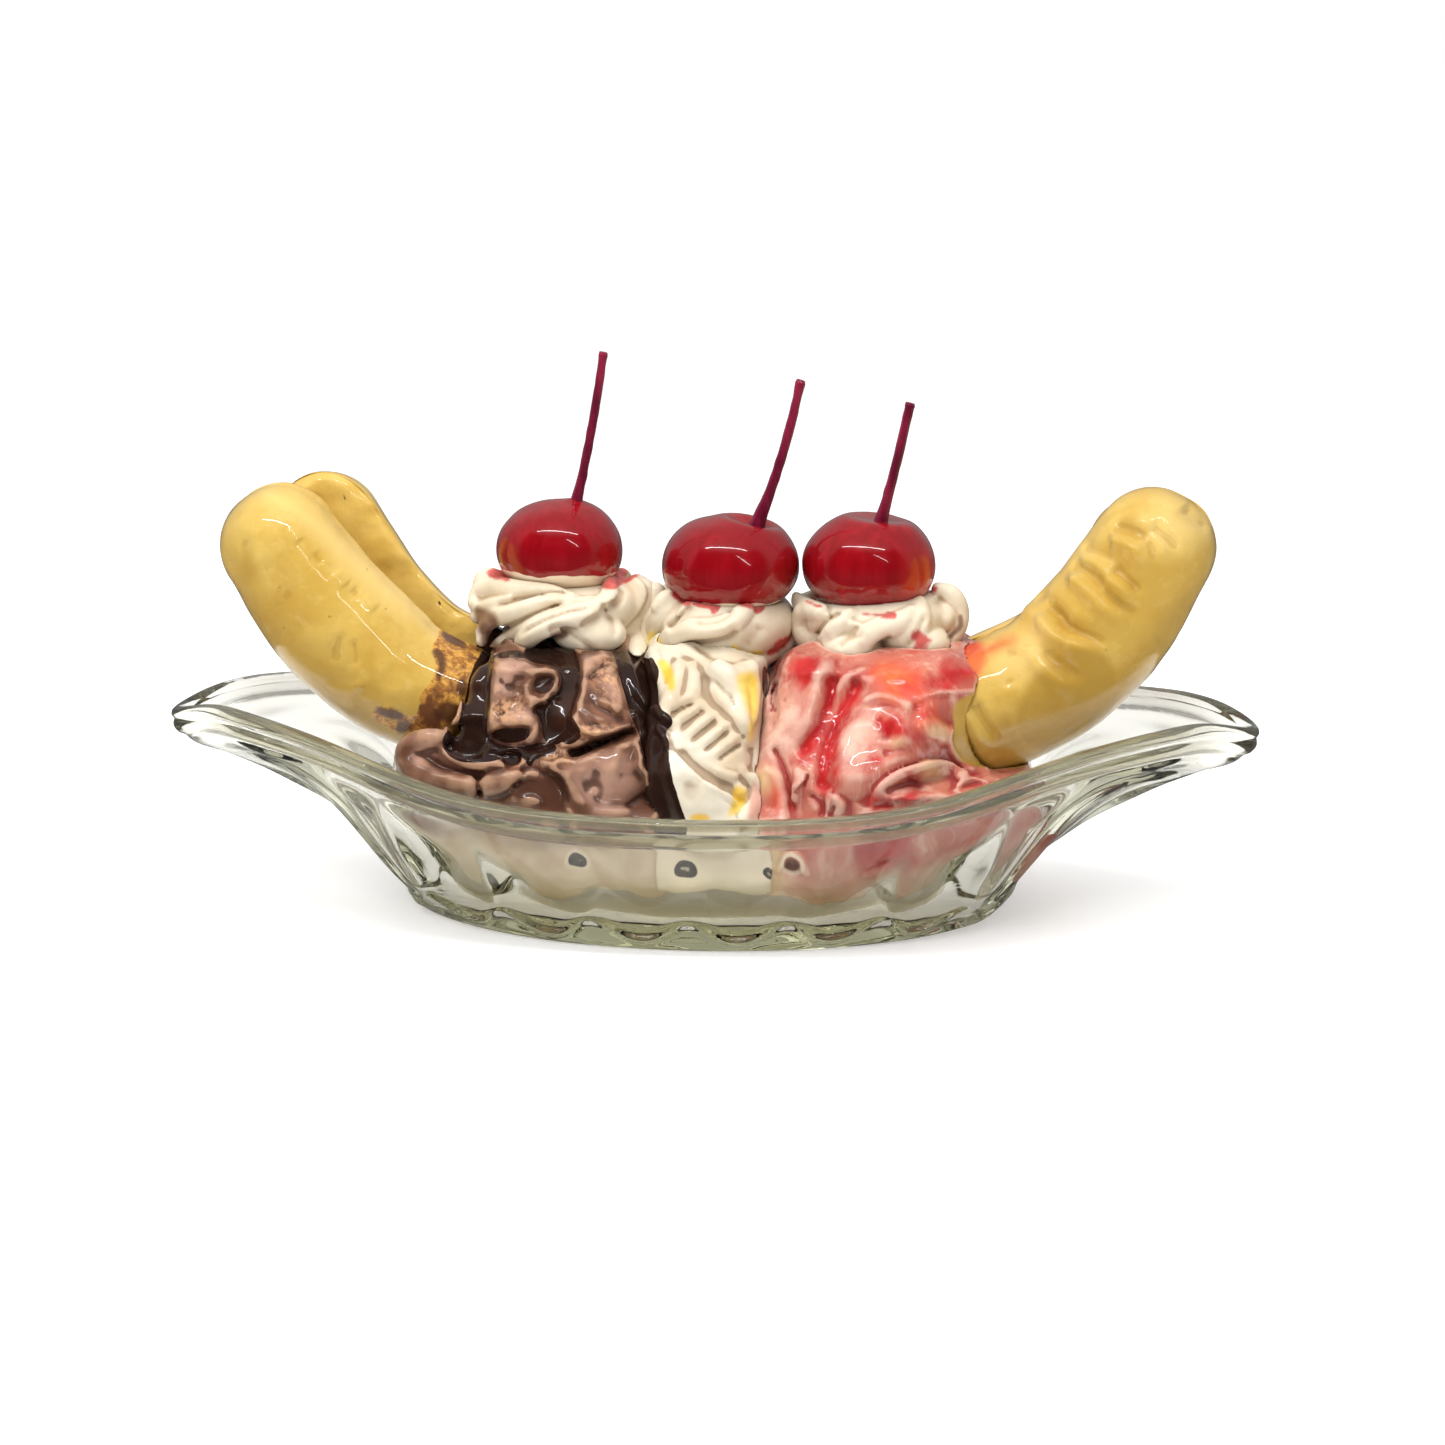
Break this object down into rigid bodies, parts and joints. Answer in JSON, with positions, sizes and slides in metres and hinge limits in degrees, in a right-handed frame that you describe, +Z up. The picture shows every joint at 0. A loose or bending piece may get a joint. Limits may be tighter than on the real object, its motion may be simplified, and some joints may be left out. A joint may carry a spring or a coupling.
{
  "type": "glazed ceramic banana split replica in a clear glass boat dish",
  "caption": "Ceramic banana split: upright banana halves at the ends, chocolate, vanilla and strawberry mounds with cream rings and stemmed cherries, in a fluted glass boat dish.",
  "frame": {"origin": "middle of the foot of the dish on the surface it stands on: the centre of the box's bottom face", "axes": "+X along the boat dish, toward the end with the strawberry mound; +Y across it, away from the side seen in the picture; +Z up"},
  "size_m": [0.24, 0.108, 0.1212],
  "materials": {
    "dish_glass": "clear polished pressed glass, faintly grey-green",
    "banana_skin": "glossy yellow glaze shading to ochre, with a granular brown stain at the foot",
    "cherry": "high-gloss deep red glaze",
    "cherry_stem": "glossy dark wine-red glaze",
    "cream": "satin ivory glaze with red drips",
    "chocolate": "glossy pinkish-brown glaze under very dark brown sauce glaze",
    "vanilla": "satin cream-white glaze with yellow patches",
    "strawberry": "glossy pink glaze with red and orange streaks"
  },
  "bodies": {
    "root": {"dish": "dish_glass", "banana_left_front": "banana_skin", "banana_left_back": "banana_skin", "banana_right_front": "banana_skin", "banana_right_back": "banana_skin", "cherry_1": "cherry", "cherry_2": "cherry", "cherry_3": "cherry", "stem_1": "cherry_stem", "stem_2": "cherry_stem", "stem_3": "cherry_stem", "cream_1": "cream", "cream_2": "cream", "cream_3": "cream", "scoop_chocolate": "chocolate", "scoop_vanilla": "vanilla", "scoop_strawberry": "strawberry"}
  },
  "joints": []
}
